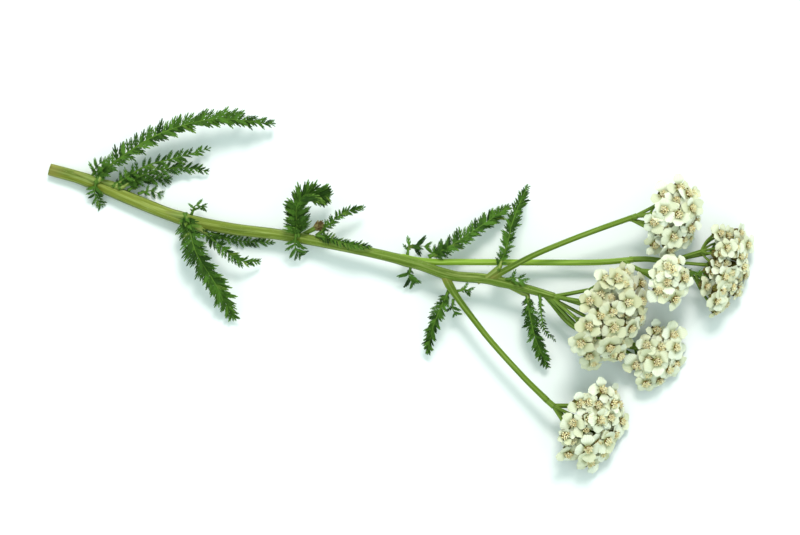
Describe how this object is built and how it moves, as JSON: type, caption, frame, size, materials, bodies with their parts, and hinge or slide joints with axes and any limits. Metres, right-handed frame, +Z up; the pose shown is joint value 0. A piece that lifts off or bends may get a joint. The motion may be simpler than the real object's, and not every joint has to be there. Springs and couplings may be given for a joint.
{
  "type": "yarrow plant",
  "caption": "Cut flowering stem of common yarrow lying on a surface, with feathery fronds and flat clusters of small cream-white flower heads.",
  "frame": {"origin": "middle of the foot of the bounding box, on the surface that the stem lies on", "axes": "+X along the stem from its cut end to the flowers, +Y across it, +Z up from the surface to a viewer who looks straight down"},
  "size_m": [0.177, 0.0898, 0.0198],
  "materials": {
    "stem": "matte, ridged lengthwise and finely hairy",
    "petals": "matte",
    "leaves": "matte, finely hairy",
    "bud": "matte"
  },
  "bodies": {
    "root": {"stem": "stem", "corymb_a": "petals", "corymb_b": "petals", "corymb_c": "petals", "corymb_d": "petals", "corymb_e": "petals", "corymb_f": "petals", "frond_1_long": "leaves", "frond_1_upper": "leaves", "frond_1_middle": "leaves", "frond_1_lower": "leaves", "frond_1_beside": "leaves", "tuft_1_above": "leaves", "tuft_1_below": "leaves", "frond_2_long": "leaves", "frond_2_side": "leaves", "frond_2_under": "leaves", "tuft_2_above": "leaves", "frond_3_curled": "leaves", "tuft_3_below": "leaves", "frond_3_side": "leaves", "frond_3_along": "leaves", "tuft_4_above": "leaves", "tuft_4_below": "leaves", "frond_4_long": "leaves", "frond_5_long": "leaves", "tuft_5_side": "leaves", "tuft_5_inner": "leaves", "frond_6_long": "leaves", "tuft_6_side": "leaves", "frond_7_long": "leaves", "frond_7_slender": "leaves", "bud_3": "bud"}
  },
  "joints": []
}
